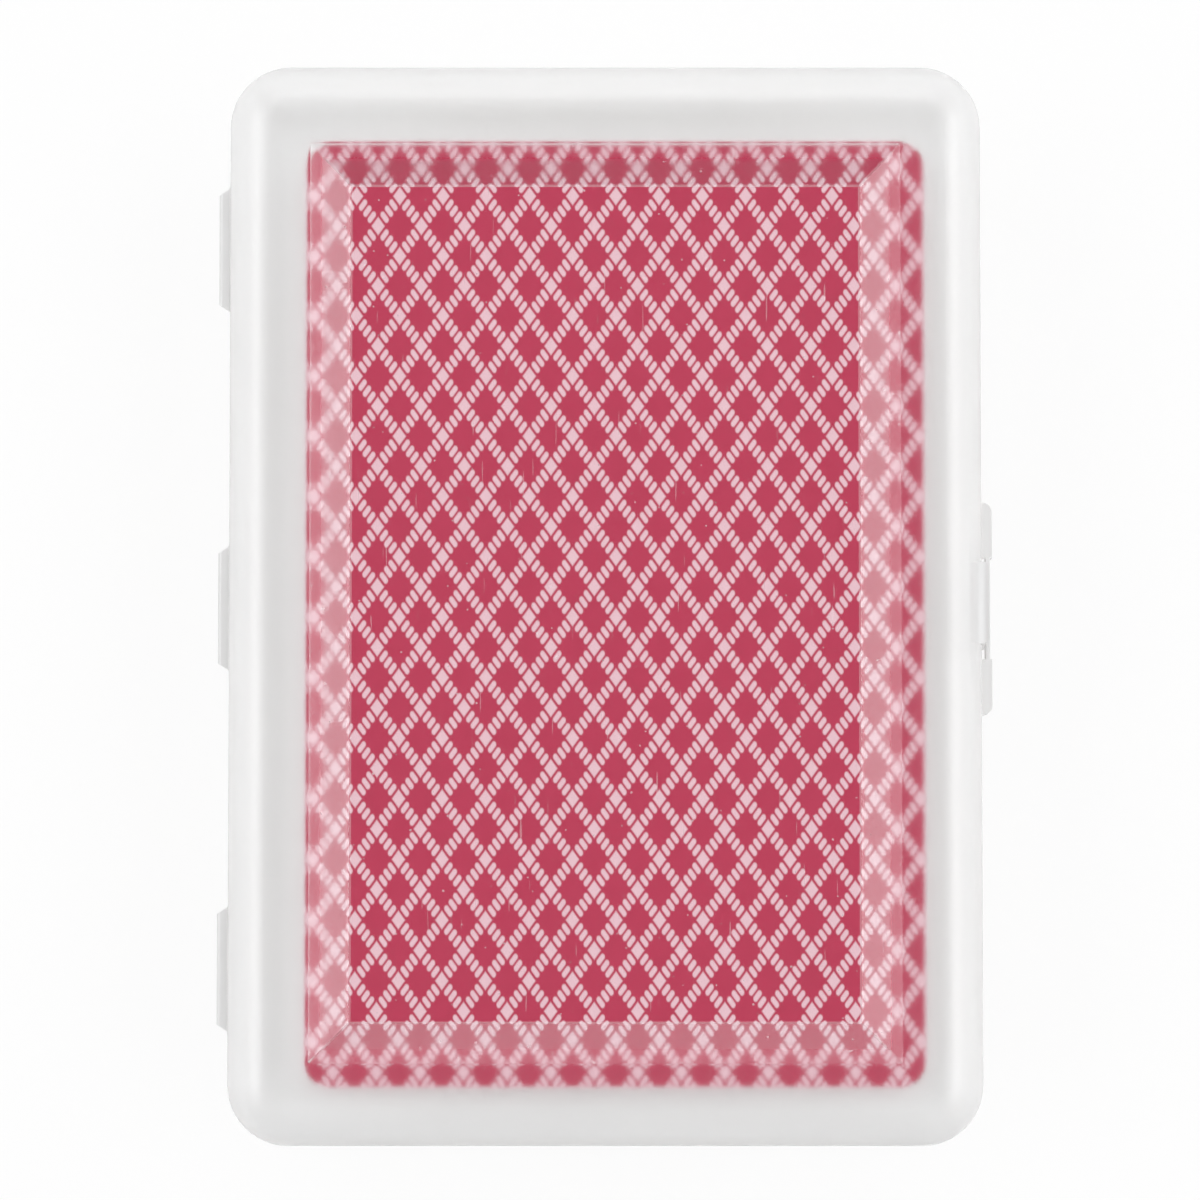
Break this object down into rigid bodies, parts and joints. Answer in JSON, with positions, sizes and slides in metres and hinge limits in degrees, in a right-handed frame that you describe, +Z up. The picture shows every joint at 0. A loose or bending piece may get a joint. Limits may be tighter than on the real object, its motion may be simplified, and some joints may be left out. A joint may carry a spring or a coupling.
{
  "type": "playing card deck",
  "caption": "Deck of playing cards with a red diamond-lattice back, held in a frosted clear plastic case with film hinges, a sunk lid panel and a snap latch.",
  "frame": {"origin": "middle of the underside of the shut case", "axes": "+Y along the cards, +X from the hinges to the latch, +Z up out of the lid"},
  "size_m": [0.0728, 0.1006, 0.0212],
  "materials": {
    "case_plastic": "frosted clear polypropylene",
    "card_stock": "coated card, red lattice print on the back"
  },
  "bodies": {
    "base": {"base_tray": "case_plastic", "hinge_film_bottom": "case_plastic", "hinge_film_middle": "case_plastic", "hinge_film_top": "case_plastic", "card_hearts_ace": "card_stock", "card_hearts_two": "card_stock", "card_hearts_three": "card_stock", "card_hearts_four": "card_stock", "card_hearts_five": "card_stock", "card_hearts_six": "card_stock", "card_hearts_seven": "card_stock", "card_hearts_eight": "card_stock", "card_hearts_nine": "card_stock", "card_hearts_ten": "card_stock", "card_hearts_jack": "card_stock", "card_hearts_queen": "card_stock", "card_hearts_king": "card_stock", "card_clubs_ace": "card_stock", "card_clubs_two": "card_stock", "card_clubs_three": "card_stock", "card_clubs_four": "card_stock", "card_clubs_five": "card_stock", "card_clubs_six": "card_stock", "card_clubs_seven": "card_stock", "card_clubs_eight": "card_stock", "card_clubs_nine": "card_stock", "card_clubs_ten": "card_stock", "card_clubs_jack": "card_stock", "card_clubs_queen": "card_stock", "card_clubs_king": "card_stock", "card_diamonds_ace": "card_stock", "card_diamonds_two": "card_stock", "card_diamonds_three": "card_stock", "card_diamonds_four": "card_stock", "card_diamonds_five": "card_stock", "card_diamonds_six": "card_stock", "card_diamonds_seven": "card_stock", "card_diamonds_eight": "card_stock", "card_diamonds_nine": "card_stock", "card_diamonds_ten": "card_stock", "card_diamonds_jack": "card_stock", "card_diamonds_queen": "card_stock", "card_diamonds_king": "card_stock", "card_spades_ace": "card_stock", "card_spades_two": "card_stock", "card_spades_three": "card_stock", "card_spades_four": "card_stock", "card_spades_five": "card_stock", "card_spades_six": "card_stock", "card_spades_seven": "card_stock", "card_spades_eight": "card_stock", "card_spades_nine": "card_stock", "card_spades_ten": "card_stock", "card_spades_jack": "card_stock", "card_spades_queen": "card_stock", "card_spades_king": "card_stock", "card_joker_red": "card_stock", "card_joker_black": "card_stock"},
    "lid": {"lid": "case_plastic"},
    "tongue": {"latch_tongue": "case_plastic"}
  },
  "joints": [
    {"name": "lid_hinge", "type": "hinge", "parent": "base", "child": "lid", "pos_m": [-0.03605, 0, 0.01057], "axis": [0, -1, 0], "range_deg": [0, 180], "deforming": ["hinge_film_bottom", "hinge_film_middle", "hinge_film_top"]},
    {"name": "latch_flex", "type": "hinge", "parent": "lid", "child": "tongue", "pos_m": [0.03425, 0, 0.0181], "axis": [0, 1, 0], "range_deg": [0, 2], "stiffness_Nm_per_rad": 0.08}
  ]
}
